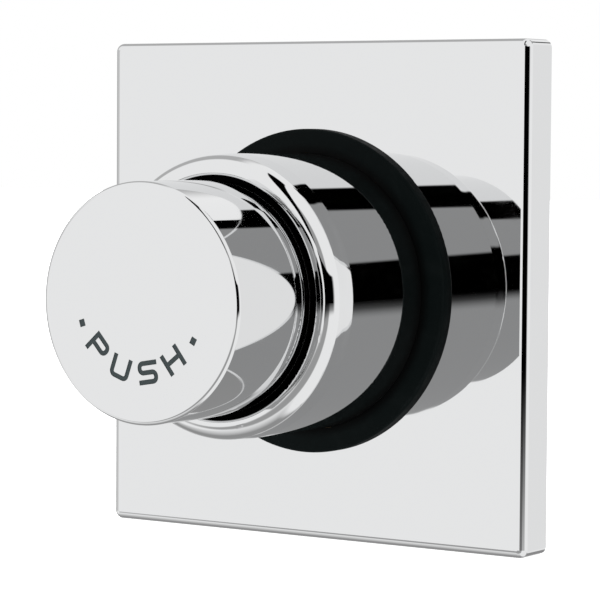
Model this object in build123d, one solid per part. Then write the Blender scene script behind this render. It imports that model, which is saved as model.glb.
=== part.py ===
"""Concealed self-closing flush valve with a square wall plate and a push button.

Units are millimetres. The valve's axis is Y. The origin is where that axis meets the wall,
the button points towards -Y, the valve body lies in the wall at +Y, and +Z is up.
Round parts are outlines of (radius, y) turned about the axis.
"""
import os
from math import cos, pi

from build123d import *

# Wall plate and its gasket
plate_size = 120.0
plate_depth = 10.4
plate_wall = 1.2
plate_corner = 2.0
plate_edge_round = 1.8
sleeve_hole_gap = 0.8
gasket_width = 6.0

# Push button and its skirt
button_radius = 27.2
button_length = 22.4
button_edge_round = 0.9
button_face_wall = 2.6
button_side_wall = 1.6
button_boss_wall = 4.0
skirt_show = 5.6
skirt_inset = 0.5
skirt_wall = 2.4
skirt_spigot = 6.0
skirt_flange = 1.8
skirt_flange_reach = 2.3

# Front ring and cover sleeve
ring_front = -50.2
ring_length = 8.0
ring_bore_length = 4.4
ring_bore_gap = 1.4
ring_spigot = 6.0
ring_spigot_wall = 1.8
ring_taper = 0.5
ring_nose_round = 3.2
ring_mouth_round = 0.8
sleeve_wall = 1.85
sleeve_back = -1.0

# Rubber ring on the plate
rubber_reach = 5.8
rubber_rim_thick = 2.0
rubber_bore_thick = 2.6
rubber_rim_round = 0.7

# Motion and fits
stroke = 10.0
stroke_spare = 0.4
seat_gap = 0.15
fixed_fit = 0.05
running_fit = 0.06
open_gap = 0.5
cut_past = 1.0

# Valve body
collar_front = -14.0
collar_length = 10.0
barrel_wall = 4.0
barrel_over_port = 0.5
chamber_front = 3.0
chamber_gap = 3.7
bridge_front = 27.0
bridge_wall = 6.0
rear_chamber_inset = 1.5
rear_wall = 3.5
port_axis = 30.0
port_bore_radius = 19.475
port_bore_length = 15.0
port_wall = 5.5
port_flat_wall = 6.5
port_hex_length = 11.0
port_chamfer = 1.0
casting_round = 6.0
casting_fillet = 4.0
outlet_width = 28.0
outlet_front = 8.5
outlet_wall = 1.5
outlet_cone_length = 16.0
outlet_cone_step = 1.5
riser_radius = 7.5
inlet_drop = 22.0
inlet_bend = 7.6

# Stem, return spring and gland
stem_radius = 4.0
stem_inset = 4.2
stem_tail_radius = 3.0
stem_collar_radius = 6.0
stem_collar = 1.5
spring_gap = 0.7
spring_wire = 1.8
spring_turns = 6.5
spring_washer_margin = 1.5
spring_washer_thick = 1.5
boss_end = -54.0
neck_wall = 3.0
neck_length = 6.0
gland_wall = 4.0
gland_nut_flat_wall = 4.5
gland_nut_head = 4.0
gland_nut_thread = 5.0
stem_seal_length = 4.0
seal_groove_width = 1.0

# Bonnet, dashpot and cage
bonnet_flange = 5.0
bonnet_land = 2.1
bonnet_washer_thick = 1.0
bonnet_thread_spare = 1.0
dashpot_front = -12.0
dashpot_wall = 1.5
piston_front = -3.0
piston_length = 7.0
piston_gap = 0.6
cup_depth = 3.0
cup_length = 3.2
clip_thick = 1.0
clip_groove = 0.8
clip_reach = 2.6
cage_wall = 2.3
cage_gap = 0.7
cage_step = 0.8
cage_plug_wall = 5.0
window_count = 4
window_width = 15.0
window_margin = 1.5
window_round = 2.0
seat_land = 1.5
seat_height = 0.4
o_ring_section = 2.0
o_ring_groove_depth = 1.7
seal_length = 3.5
seal_overlap = 2.3
seal_plate_gap = 3.0
seal_plate_thick = 1.5
seal_cup_rim = 1.2
seal_cup_base = 2.5
seal_cup_lip = 2.5
seal_nut_flats = 5.5
seal_nut_thick = 3.5
stem_tail_spare = 1.4

# Integral stop valve
stop_thread_radius = 9.5
stop_chamber_radius = 8.5
stop_floor_wall = 3.5
stop_roof_wall = 1.5
stop_boss_wall = 3.5
stop_cap_thread = 9.0
stop_cap_length = 14.7
stop_nose_radius = 6.0
stop_seat_face = 33.0
stop_seat_radius = 7.0
stop_seat_wall = 3.0
stop_travel = 6.0
stop_spindle_radius = 3.2
stop_spindle_front = 1.0
stop_neck_radius = 2.2
stop_neck_length = 4.0
stop_groove_depth = 1.0
stop_groove_length = 1.8
stop_plug_radius = 8.1
stop_plug_length = 6.5
stop_seal_thick = 2.0
stop_screw_radius = 3.4
stop_screw_head = 1.8
slot_width = 1.2
slot_depth = 1.6

# Radii that follow from the button outwards
skirt_radius = button_radius - skirt_inset
button_bore = button_radius - button_side_wall
ring_bore = skirt_radius + ring_bore_gap
flange_radius = skirt_radius + skirt_flange_reach
ring_counterbore = flange_radius + open_gap
ring_spigot_radius = ring_counterbore + ring_spigot_wall
sleeve_bore = ring_spigot_radius + fixed_fit
sleeve_radius = sleeve_bore + sleeve_wall
collar_radius = sleeve_bore - fixed_fit
plate_hole = sleeve_radius + sleeve_hole_gap

# Radii that follow from the skirt inwards to the main seat
bonnet_corner_radius = skirt_radius - skirt_wall - open_gap
bonnet_flats = bonnet_corner_radius * cos(pi / 6)
bonnet_thread_radius = bonnet_flats - bonnet_land
cage_radius = bonnet_thread_radius - cage_gap
dashpot_radius = cage_radius - cage_wall - dashpot_wall
bridge_bore = cage_radius - cage_step
seat_radius = bridge_bore - cage_plug_wall
seal_radius = seat_radius + seal_overlap
seal_plate_radius = seat_radius - seal_plate_gap

# Radii that follow from the stem outwards
button_boss_radius = stem_radius + button_boss_wall
gland_radius = stem_radius + gland_wall
gland_nut_flats = stem_radius + gland_nut_flat_wall
neck_radius = gland_radius + neck_wall
spring_radius = neck_radius + spring_gap + spring_wire / 2
spring_washer_radius = spring_radius + spring_wire / 2 + spring_washer_margin

# Sizes of the body that follow from its chambers and ports
chamber_radius = cage_radius + chamber_gap
rear_chamber_radius = chamber_radius - rear_chamber_inset
port_radius = port_bore_radius + port_wall
barrel_radius = max(chamber_radius + barrel_wall, port_radius + barrel_over_port)
port_flats = port_bore_radius + port_flat_wall
stop_height = chamber_radius + stop_floor_wall + stop_chamber_radius
port_floor = stop_height + stop_chamber_radius + stop_roof_wall
port_face = port_floor + port_bore_length

# Places along the axis that follow from the front
button_back = ring_front - skirt_show
button_front = button_back - button_length
button_inside = button_front + button_face_wall
ring_back = ring_front + ring_length
ring_shoulder = ring_front + ring_bore_length
flange_front = ring_shoulder + open_gap
skirt_back = collar_front - stroke - stroke_spare
collar_back = collar_front + collar_length
bonnet_back_face = collar_front - bonnet_washer_thick
bonnet_front = bonnet_back_face - bonnet_flange
neck_front = bonnet_front - neck_length
piston_back = piston_front + piston_length
dashpot_back = piston_back + stroke + open_gap
bridge_back = bridge_front + bridge_wall
seat_face = bridge_back + open_gap + seat_height
seal_front = seat_face + seat_gap
seal_back = seal_front + seal_length
cup_back = seal_back + seal_cup_base
nut_back = cup_back + seal_nut_thick
stem_front = button_inside + stem_inset
stem_back = nut_back + stem_tail_spare
rear_chamber_back = stem_back + stroke + open_gap
body_back = rear_chamber_back + rear_wall
spring_front = boss_end + spring_washer_thick
stop_plug_front = stop_seat_face - stop_travel - stop_seal_thick - stop_plug_length


def outline(*corners):
    """Close a flat outline of (radius, y) corners; a third number rounds that corner."""
    face = make_face(Polyline(*[corner[:2] for corner in corners], close=True))
    for corner in corners:
        if len(corner) > 2:
            vertex = face.vertices().sort_by_distance(Vector(corner[0], corner[1], 0))[0]
            face = fillet(vertex, corner[2])
    return face


def turned(*corners):
    """Turn an outline of (radius, y) corners about the valve's axis."""
    return revolve(outline(*corners), axis=Axis.Y)


def tube(inner, outer, front, back):
    """A plain ring or washer between two places on the axis."""
    return turned((inner, front), (outer, front), (outer, back), (inner, back))


def rod(radius, front, back):
    """A solid round bar between two places on the axis."""
    return turned((0, front), (radius, front), (radius, back), (0, back))


def hexagon(flats, front, back):
    """A hexagonal bar along the axis; flats is half the size across its flats."""
    sketch = Plane.XZ.offset(-front) * RegularPolygon(flats, 6, major_radius=False)
    return extrude(sketch, front - back)


def at_stop(shape):
    """Move a piece turned about the valve's axis to the stop valve's axis."""
    return Pos(0, 0, stop_height) * shape


def make_wall_plate():
    """Pressed square plate: rounded front edges, open back, round hole for the sleeve."""
    shell = Pos(0, -plate_depth / 2, 0) * Box(plate_size, plate_depth, plate_size)
    shell = fillet(shell.edges().filter_by(Axis.Y), plate_corner)
    shell = fillet(shell.faces().sort_by(Axis.Y)[0].edges(), plate_edge_round)
    inner_size = plate_size - 2 * plate_wall
    hollow_depth = plate_depth - plate_wall
    hollow = Pos(0, -hollow_depth / 2, 0) * Box(inner_size, hollow_depth, inner_size)
    hollow = fillet(hollow.edges().filter_by(Axis.Y), plate_corner - plate_wall)
    return shell - hollow - rod(plate_hole, -2 * plate_depth, plate_depth)


def make_plate_gasket():
    """Square foam frame inside the plate's rim, level with the wall."""
    outer_size = plate_size - 2 * (plate_wall + fixed_fit)
    inner_size = outer_size - 2 * gasket_width
    depth = plate_depth - plate_wall - fixed_fit
    frame = Box(outer_size, depth, outer_size) - Box(inner_size, 2 * depth, inner_size)
    frame = fillet(frame.edges().filter_by(Axis.Y), plate_corner - plate_wall)
    return Pos(0, -depth / 2, 0) * frame


def make_rubber_ring():
    """Flat ring that seats on the plate and grips the sleeve, a little thicker at its bore."""
    bore = sleeve_radius + fixed_fit
    rim = sleeve_radius + rubber_reach
    foot = -plate_depth
    return turned(
        (bore, foot),
        (rim, foot),
        (rim, foot - rubber_rim_thick, rubber_rim_round),
        (bore, foot - rubber_bore_thick),
    )


def make_cover_sleeve():
    """Thin tube from the front ring through the plate to the body's collar."""
    return tube(sleeve_bore, sleeve_radius, ring_back, sleeve_back)


def make_front_ring():
    """Bullnosed ring, level with the sleeve, on a threaded spigot; it holds the skirt's flange in."""
    spigot_back = ring_back + ring_spigot
    return turned(
        (ring_bore, ring_front, ring_mouth_round),
        (sleeve_radius - ring_taper, ring_front, ring_nose_round),
        (sleeve_radius, ring_back),
        (ring_spigot_radius, ring_back),
        (ring_spigot_radius, spigot_back),
        (ring_counterbore, spigot_back),
        (ring_counterbore, ring_shoulder),
        (ring_bore, ring_shoulder),
    )


def make_push_button():
    """Hollow cap with a flat face and a central boss bored for the stem."""
    stem_hole = stem_radius + fixed_fit
    hole_front = stem_front - open_gap
    return turned(
        (0, button_front),
        (button_radius, button_front, button_edge_round),
        (button_radius, button_back, 0.5),
        (button_bore, button_back),
        (button_bore, button_inside, 1.5),
        (button_boss_radius, button_inside, 1.5),
        (button_boss_radius, boss_end),
        (stem_hole, boss_end),
        (stem_hole, hole_front),
        (0, hole_front),
    )


def make_button_skirt():
    """Guide tube behind the cap: a spigot in the cap, a flange behind the front ring."""
    spigot_radius = button_bore - fixed_fit
    bore = skirt_radius - skirt_wall
    spigot_front = button_back - skirt_spigot
    flange_back = flange_front + skirt_flange
    return turned(
        (bore, spigot_front),
        (spigot_radius, spigot_front, 0.4),
        (spigot_radius, button_back),
        (skirt_radius, button_back, 0.4),
        (skirt_radius, flange_front),
        (flange_radius, flange_front),
        (flange_radius, flange_back),
        (skirt_radius, flange_back),
        (skirt_radius, skirt_back, 0.5),
        (bore, skirt_back),
    )


def make_body_casting():
    """Outside of the casting: collar, barrel, port column, hexagon ends and the stop's boss."""
    barrel = turned(
        (0, collar_front),
        (collar_radius, collar_front, 0.6),
        (collar_radius, collar_back, 0.6),
        (barrel_radius, collar_back + collar_radius - barrel_radius),
        (barrel_radius, body_back, casting_round),
        (0, body_back),
    )
    column = Pos(0, port_axis, 0) * Cylinder(port_radius, 2 * (port_face - port_chamfer))
    casting = barrel + column
    crossings = [edge for edge in casting.edges() if edge.geom_type == GeomType.BSPLINE]
    casting = fillet(crossings, casting_fillet)
    nut = extrude(RegularPolygon(port_flats, 6, major_radius=False), port_hex_length)
    nut = chamfer(nut.faces().sort_by(Axis.Z)[-1].edges(), port_chamfer)
    nut = Pos(0, 0, port_face - port_hex_length) * nut
    for turn in (0, 180):
        casting += Pos(0, port_axis, 0) * Rot(turn, 0, 0) * nut
    boss = rod(stop_thread_radius + stop_boss_wall, 0, port_axis - port_radius / 2)
    return casting + at_stop(boss)


def make_valve_body():
    """Brass casting with its chambers, bridge wall, pipe ports and water ways."""
    body = make_body_casting()

    # Bores along the axis
    body -= rod(bonnet_thread_radius + fixed_fit, collar_front - cut_past, chamber_front)
    body -= rod(chamber_radius, chamber_front, bridge_front)
    body -= rod(bridge_bore, bridge_front, bridge_back)
    body -= rod(rear_chamber_radius, bridge_back, rear_chamber_back)

    # Pipe ports
    for side in (-1, 1):
        bore = Cylinder(port_bore_radius, port_bore_length + cut_past)
        body -= Pos(0, port_axis, side * (port_floor + (port_bore_length + cut_past) / 2)) * bore

    # Inlet way: port to stop chamber, through the stop's seat, then bent down to the rear chamber
    drop_length = port_floor - stop_height + cut_past
    drop = Cylinder(riser_radius, drop_length)
    body -= Pos(0, inlet_drop, stop_height + drop_length / 2) * drop
    body -= at_stop(rod(stop_thread_radius, -cut_past, stop_cap_thread))
    body -= at_stop(rod(stop_chamber_radius, stop_cap_thread, stop_seat_face))
    bend = stop_seat_face + stop_seat_wall + inlet_bend
    way = FilletPolyline(
        (0, stop_seat_face, stop_height), (0, bend, stop_height), (0, bend, 0), radius=inlet_bend
    )
    body -= sweep(Plane(way @ 0, z_dir=way % 0) * Circle(stop_seat_radius), path=way)

    # Outlet way: front chamber down to the lower port, widening towards it
    outlet_depth = bridge_front - outlet_front - outlet_wall
    outlet_height = port_floor + cut_past - chamber_radius / 2
    slot = Box(outlet_width, outlet_depth, outlet_height)
    slot = fillet(slot.edges().filter_by(Axis.Z), outlet_depth / 4)
    slot_centre = -(port_floor + cut_past + chamber_radius / 2) / 2
    body -= Pos(0, outlet_front + outlet_depth / 2, slot_centre) * slot
    mouth = port_bore_radius - outlet_cone_step
    cone = Cone(mouth, mouth / 2, outlet_cone_length)
    body -= Pos(0, port_axis, outlet_cone_length / 2 - port_floor) * cone
    return body


def make_bonnet():
    """Threaded head: hexagon flange, gland neck in front, damping cylinder behind."""
    thread_back = chamber_front - bonnet_thread_spare
    skirt = dashpot_radius + dashpot_wall
    stem_hole = stem_radius + running_fit
    gland_back = neck_front + gland_nut_thread + stem_seal_length
    core = turned(
        (stem_hole, gland_back),
        (gland_radius, gland_back),
        (gland_radius, neck_front),
        (neck_radius, neck_front, 0.6),
        (neck_radius, bonnet_back_face),
        (bonnet_thread_radius, bonnet_back_face),
        (bonnet_thread_radius, thread_back),
        (skirt, thread_back),
        (skirt, dashpot_back),
        (dashpot_radius, dashpot_back),
        (dashpot_radius, dashpot_front),
        (stem_hole, dashpot_front),
    )
    flange = hexagon(bonnet_flats, bonnet_front, bonnet_back_face)
    middle = rod(neck_radius - open_gap, bonnet_front - cut_past, bonnet_back_face + cut_past)
    return core + (flange - middle)


def make_bonnet_washer():
    """Flat washer under the bonnet's flange."""
    inner = bonnet_thread_radius + 2 * fixed_fit
    return tube(inner, bonnet_flats, bonnet_back_face, collar_front)


def make_gland_nut():
    """Small hexagon nut that closes the gland on the stem seal."""
    thread = rod(gland_radius - fixed_fit, neck_front, neck_front + gland_nut_thread)
    head = hexagon(gland_nut_flats, neck_front - gland_nut_head, neck_front)
    front = neck_front - 2 * gland_nut_head
    return head + thread - rod(stem_radius + running_fit, front, 0)


def make_stem_seal():
    """Lip seal in the gland, with a V groove facing the water."""
    front = neck_front + gland_nut_thread
    back = front + stem_seal_length
    inner = stem_radius + running_fit
    outer = gland_radius - fixed_fit
    middle = (inner + outer) / 2
    return turned(
        (inner, front),
        (outer, front),
        (outer, back),
        (middle + seal_groove_width / 2, back),
        (middle, back - stem_seal_length / 2),
        (middle - seal_groove_width / 2, back),
        (inner, back),
    )


def make_valve_stem():
    """Rod from the button to the main seal, with a collar and a clip groove for the piston."""
    shoulder = seal_front - seal_plate_thick
    groove_back = piston_back + clip_thick
    return turned(
        (0, stem_front),
        (stem_radius, stem_front, 0.6),
        (stem_radius, piston_front - stem_collar),
        (stem_collar_radius, piston_front - stem_collar),
        (stem_collar_radius, piston_front),
        (stem_radius, piston_front),
        (stem_radius, piston_back),
        (stem_radius - clip_groove, piston_back),
        (stem_radius - clip_groove, groove_back),
        (stem_radius, groove_back),
        (stem_radius, shoulder),
        (stem_tail_radius, shoulder),
        (stem_tail_radius, stem_back, 0.4),
        (0, stem_back),
    )


def make_spring_washer():
    """Seat of the return spring, under the button's boss."""
    return tube(stem_radius + fixed_fit, spring_washer_radius, boss_end, spring_front)


def make_return_spring():
    """Round-wire compression spring between the bonnet and the spring washer."""
    coil_height = bonnet_front - spring_front - spring_wire
    pitch = coil_height / spring_turns
    path = Helix(pitch=pitch, height=coil_height, radius=spring_radius)
    wire = sweep(Plane(path @ 0, z_dir=path % 0) * Circle(spring_wire / 2), path=path, is_frenet=True)
    along_axis = Pos(0, bonnet_front - spring_wire / 2, 0) * Rot(90, 0, 0)
    return along_axis * wire


def make_dashpot_piston():
    """Damping piston with a groove for its cup seal."""
    outer = dashpot_radius - piston_gap
    groove_front = piston_front + (piston_length - cup_length) / 2
    groove_back = groove_front + cup_length
    groove_radius = dashpot_radius - cup_depth
    return turned(
        (stem_radius + fixed_fit, piston_front),
        (outer, piston_front, 0.4),
        (outer, groove_front),
        (groove_radius, groove_front),
        (groove_radius, groove_back),
        (outer, groove_back),
        (outer, piston_back, 0.4),
        (stem_radius + fixed_fit, piston_back),
    )


def make_piston_cup():
    """Lip seal on the piston: it lets water past on the press and holds it on the return."""
    front = piston_front + (piston_length - cup_length) / 2
    back = front + cup_length
    inner = dashpot_radius - cup_depth + fixed_fit
    outer = dashpot_radius - running_fit
    lip = 0.8
    return turned(
        (inner, front),
        (inner + lip, front),
        ((inner + outer) / 2, front + cup_length / 2),
        (outer - lip, front),
        (outer, front),
        (outer, back - 0.4),
        (outer - 0.4, back),
        (inner, back),
    )


def make_piston_clip():
    """Open spring clip in the stem's groove."""
    inner = stem_radius - clip_groove + fixed_fit
    clip = tube(inner, stem_radius + clip_reach, piston_back, piston_back + clip_thick)
    gap = Box(2 * inner, 4 * clip_thick, 2 * (stem_radius + clip_reach))
    return clip - Pos(0, piston_back, -(stem_radius + clip_reach)) * gap


def make_valve_cage():
    """Cage on the bonnet's skirt: windows to the outlet, main seat at its end."""
    skirt = dashpot_radius + dashpot_wall + fixed_fit
    front = chamber_front + open_gap
    plug_radius = bridge_bore - fixed_fit
    seat_front = bridge_front + open_gap
    o_ring_front = bridge_front + (bridge_wall - o_ring_section) / 2
    o_ring_back = o_ring_front + o_ring_section
    groove_radius = bridge_bore - o_ring_groove_depth
    cage = turned(
        (skirt, front),
        (cage_radius, front, 0.5),
        (cage_radius, bridge_front - open_gap),
        (plug_radius, bridge_front - open_gap),
        (plug_radius, o_ring_front),
        (groove_radius, o_ring_front),
        (groove_radius, o_ring_back),
        (plug_radius, o_ring_back),
        (plug_radius, bridge_back + open_gap),
        (seat_radius + seat_land, bridge_back + open_gap),
        (seat_radius + seat_land, seat_face, 0.3),
        (seat_radius, seat_face, 0.3),
        (seat_radius, seat_front, 0.6),
        (dashpot_radius + open_gap, seat_front),
        (dashpot_radius + open_gap, dashpot_back),
        (skirt, dashpot_back),
    )
    window_front = dashpot_back + window_margin
    window_length = bridge_front - window_margin - window_front
    window = Box(window_width, window_length, cage_radius)
    window = fillet(window.edges().filter_by(Axis.Z), window_round)
    for index in range(window_count):
        turn = Rot(0, 360 * index / window_count, 0)
        cage -= turn * Pos(0, window_front + window_length / 2, cage_radius) * window
    return cage


def make_cage_o_ring():
    """O-ring in the cage's groove, nipped by the bridge wall."""
    groove_radius = bridge_bore - o_ring_groove_depth
    thickness = bridge_bore - groove_radius - 2 * fixed_fit
    front = bridge_front + (bridge_wall - o_ring_section) / 2 + fixed_fit
    back = front + o_ring_section - 2 * fixed_fit
    inner = groove_radius + fixed_fit
    outer = inner + thickness
    return turned(
        (inner, front, 0.5),
        (outer, front, 0.5),
        (outer, back, 0.5),
        (inner, back, 0.5),
    )


def make_seal_plate():
    """Clamp plate in front of the main seal; it passes through the seat."""
    return tube(
        stem_tail_radius + fixed_fit, seal_plate_radius, seal_front - seal_plate_thick, seal_front
    )


def make_main_seal():
    """Rubber washer that closes on the seat."""
    return tube(stem_tail_radius + fixed_fit, seal_radius, seal_front, seal_back)


def make_seal_cup():
    """Brass cup that backs the main seal and holds its edge."""
    inner = stem_tail_radius + fixed_fit
    recess = seal_radius + fixed_fit
    rim = seal_radius + seal_cup_rim
    return turned(
        (inner, seal_back),
        (recess, seal_back),
        (recess, seal_back - seal_cup_lip),
        (rim, seal_back - seal_cup_lip),
        (rim, cup_back, 1.0),
        (inner, cup_back),
    )


def make_seal_nut():
    """Nut on the stem's tail."""
    nut = hexagon(seal_nut_flats, cup_back, nut_back)
    return nut - rod(stem_tail_radius + fixed_fit, cup_back - cut_past, nut_back + cut_past)


def make_stop_cap():
    """Threaded cap of the stop valve, level with the body's boss, with a slot for a key."""
    front = 2 * fixed_fit
    bore = stop_spindle_radius + running_fit
    cap = turned(
        (bore, front),
        (stop_thread_radius - fixed_fit, front, 0.4),
        (stop_thread_radius - fixed_fit, stop_cap_thread),
        (stop_nose_radius, stop_cap_thread),
        (stop_nose_radius, stop_cap_length, 0.5),
        (bore, stop_cap_length),
    )
    slot = Box(2 * stop_thread_radius, 2 * slot_depth, 2 * slot_width)
    return at_stop(cap - Pos(0, front, 0) * slot)


def make_stop_spindle():
    """Slotted spindle: it screws in through the cap and pushes the plug to its seat."""
    groove_front = stop_cap_length / 2
    groove_back = groove_front + stop_groove_length
    groove_radius = stop_spindle_radius - stop_groove_depth
    neck_front = stop_plug_front - open_gap
    neck_back = stop_plug_front + stop_neck_length
    spindle = turned(
        (0, stop_spindle_front),
        (stop_spindle_radius, stop_spindle_front, 0.3),
        (stop_spindle_radius, groove_front),
        (groove_radius, groove_front),
        (groove_radius, groove_back),
        (stop_spindle_radius, groove_back),
        (stop_spindle_radius, neck_front),
        (stop_neck_radius, neck_front),
        (stop_neck_radius, neck_back, 0.3),
        (0, neck_back),
    )
    slot = Box(3 * stop_spindle_radius, 2 * slot_depth, slot_width)
    return at_stop(spindle - Pos(0, stop_spindle_front, 0) * slot)


def make_stop_o_ring():
    """O-ring in the spindle's groove."""
    front = stop_cap_length / 2 + fixed_fit
    back = front + stop_groove_length - 2 * fixed_fit
    inner = stop_spindle_radius - stop_groove_depth + fixed_fit
    outer = stop_spindle_radius
    return at_stop(
        turned((inner, front, 0.3), (outer, front, 0.3), (outer, back, 0.3), (inner, back, 0.3))
    )


def make_stop_plug():
    """Plug that the spindle pushes; the spindle's neck turns in its socket."""
    socket = stop_neck_radius + running_fit
    socket_back = stop_plug_front + stop_neck_length + 2 * fixed_fit
    back = stop_plug_front + stop_plug_length
    plug = turned(
        (socket, stop_plug_front),
        (stop_plug_radius, stop_plug_front, 0.8),
        (stop_plug_radius, back),
        (0, back),
        (0, socket_back),
        (socket, socket_back),
    )
    return at_stop(plug)


def make_stop_seal():
    """Rubber washer on the plug."""
    front = stop_plug_front + stop_plug_length
    bore = stop_screw_radius / 2 + fixed_fit
    washer = tube(bore, stop_plug_radius - fixed_fit, front, front + stop_seal_thick - seat_gap)
    return at_stop(washer)


def make_stop_screw():
    """Pan-head screw that holds the washer on the plug."""
    front = stop_plug_front + stop_plug_length
    head_front = front + stop_seal_thick - seat_gap
    screw = turned(
        (0, front),
        (stop_screw_radius / 2, front),
        (stop_screw_radius / 2, head_front),
        (stop_screw_radius, head_front),
        (stop_screw_radius, head_front + stop_screw_head, 1.0),
        (0, head_front + stop_screw_head),
    )
    return at_stop(screw)


parts = {
    "wall_plate": make_wall_plate,
    "plate_gasket": make_plate_gasket,
    "rubber_ring": make_rubber_ring,
    "cover_sleeve": make_cover_sleeve,
    "front_ring": make_front_ring,
    "push_button": make_push_button,
    "button_skirt": make_button_skirt,
    "valve_body": make_valve_body,
    "bonnet": make_bonnet,
    "bonnet_washer": make_bonnet_washer,
    "gland_nut": make_gland_nut,
    "stem_seal": make_stem_seal,
    "valve_stem": make_valve_stem,
    "spring_washer": make_spring_washer,
    "return_spring": make_return_spring,
    "dashpot_piston": make_dashpot_piston,
    "piston_cup": make_piston_cup,
    "piston_clip": make_piston_clip,
    "valve_cage": make_valve_cage,
    "cage_o_ring": make_cage_o_ring,
    "seal_plate": make_seal_plate,
    "main_seal": make_main_seal,
    "seal_cup": make_seal_cup,
    "seal_nut": make_seal_nut,
    "stop_cap": make_stop_cap,
    "stop_spindle": make_stop_spindle,
    "stop_o_ring": make_stop_o_ring,
    "stop_plug": make_stop_plug,
    "stop_seal": make_stop_seal,
    "stop_screw": make_stop_screw,
}

os.makedirs("parts", exist_ok=True)
for name, make in parts.items():
    solid = make()
    export_step(solid, f"parts/{name}.step")
    print(f"{name}: {len(solid.solids())} solid, {solid.volume / 1000:.2f} cm3")
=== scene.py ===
# %% [markdown]
# # A chrome flush valve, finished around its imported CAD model
#
# The valve's pieces already exist as exact CAD solids. They arrive here as a fixed frame, in metres:
# the valve's axis is Y, the button points towards -Y, the wall is the plane y = 0, and +Z is up.
# This file never moves them. It gives each one the finish that the real piece has, and builds new
# meshes only where the real thing has detail that the CAD solid leaves out: the engraved word on
# the button, the closed ends of the spring, and the cells of the foam gasket.

# %% Load the frame
import math

import bmesh
import bpy
from mathutils import Matrix, Vector
from mathutils.geometry import delaunay_2d_cdt
from mathutils.noise import voronoi


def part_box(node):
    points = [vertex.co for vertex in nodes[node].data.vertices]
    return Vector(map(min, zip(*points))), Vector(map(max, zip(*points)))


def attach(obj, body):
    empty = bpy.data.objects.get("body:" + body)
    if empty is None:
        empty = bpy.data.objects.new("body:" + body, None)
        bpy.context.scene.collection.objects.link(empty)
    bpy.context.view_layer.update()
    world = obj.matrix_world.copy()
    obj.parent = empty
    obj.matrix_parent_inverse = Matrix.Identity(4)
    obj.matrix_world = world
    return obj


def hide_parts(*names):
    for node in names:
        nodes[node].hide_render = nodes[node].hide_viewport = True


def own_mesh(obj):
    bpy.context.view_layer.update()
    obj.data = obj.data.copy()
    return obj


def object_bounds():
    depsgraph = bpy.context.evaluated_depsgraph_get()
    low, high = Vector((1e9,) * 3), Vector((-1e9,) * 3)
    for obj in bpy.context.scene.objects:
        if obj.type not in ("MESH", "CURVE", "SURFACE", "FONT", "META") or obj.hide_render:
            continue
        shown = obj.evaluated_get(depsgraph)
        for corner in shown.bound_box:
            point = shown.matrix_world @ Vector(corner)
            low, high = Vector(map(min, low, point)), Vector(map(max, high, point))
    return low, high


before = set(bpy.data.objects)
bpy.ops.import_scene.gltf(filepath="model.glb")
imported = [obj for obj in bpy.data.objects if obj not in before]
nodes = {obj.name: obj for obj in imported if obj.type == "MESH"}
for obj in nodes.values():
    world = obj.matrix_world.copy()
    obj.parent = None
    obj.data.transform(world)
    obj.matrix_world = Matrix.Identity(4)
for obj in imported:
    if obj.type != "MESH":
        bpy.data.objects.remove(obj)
cad_low, cad_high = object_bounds()
scene = bpy.context.scene
print("CAD box in mm:", [round(1000 * (b - a), 1) for a, b in zip(cad_low, cad_high)])

# %% [markdown]
# ## The camera
#
# The picture was taken from the right of the valve, a little above it, with a long lens: the
# plate's edges stay nearly parallel. A long lens is a small field of view, so a camera 0.7 m away
# needs about 175 mm on Blender's 36 mm sensor. The camera is placed by its direction and distance
# from the point where the valve's axis meets the wall, which is how a photographer would describe it.
# A Track To constraint would aim it as well, but it keeps the camera level, and this one is rolled by
# a little over a third of a degree.

# %% Place the camera
view_azimuth = math.radians(34.267)
view_elevation = math.radians(3.376)
view_roll = math.radians(0.377)
view_distance = 0.71037
view_right = -0.008307
view_up = -0.002762
lens_length = 174.58
sensor_width = 36

back = Vector((
    math.sin(view_azimuth) * math.cos(view_elevation),
    -math.cos(view_azimuth) * math.cos(view_elevation),
    math.sin(view_elevation),
))
right = Vector((0, 0, 1)).cross(back).normalized()
up = back.cross(right)
place = back * view_distance + right * view_right + up * view_up
rolled_right = right * math.cos(view_roll) + up * math.sin(view_roll)
rolled_up = up * math.cos(view_roll) - right * math.sin(view_roll)
aim = Matrix((rolled_right, rolled_up, back)).transposed().to_4x4()

camera = bpy.data.objects.new("camera", bpy.data.cameras.new("camera"))
camera.data.lens = lens_length
camera.data.sensor_width = sensor_width
camera.data.clip_start = 0.05
camera.data.clip_end = 20
camera.matrix_world = Matrix.Translation(place) @ aim
scene.collection.objects.link(camera)
scene.camera = camera
print("camera at", [round(v, 3) for v in place])

# %% [markdown]
# ## Helpers that write shader nodes
#
# A procedural material is a small network: a place on the surface goes in, a few numbers are made
# from it, and a colour, a roughness and a height come out. Writing each link by hand hides that
# idea, so short helpers do the wiring, and each finish further down reads as a recipe.

# %% Add a node, feed a socket, work out a number
def add_node(tree, kind, **settings):
    """Add a node and set its properties."""
    node = tree.nodes.new(kind)
    for key, value in settings.items():
        setattr(node, key, value)
    return node


def feed(tree, socket, value):
    """Give an input socket a number, a colour or another node's output."""
    if isinstance(value, bpy.types.NodeSocket):
        tree.links.new(value, socket)
    else:
        socket.default_value = value


def calculate(tree, operation, *values):
    """A Math node."""
    node = add_node(tree, "ShaderNodeMath", operation=operation)
    for socket, value in zip(node.inputs, values):
        feed(tree, socket, value)
    return node.outputs[0]


def axes_of(tree, vector):
    """The x, y and z of a vector, as three outputs."""
    parts = add_node(tree, "ShaderNodeSeparateXYZ")
    feed(tree, parts.inputs[0], vector)
    return parts.outputs


print("helpers that write nodes: add_node, feed, calculate, axes_of")

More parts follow.
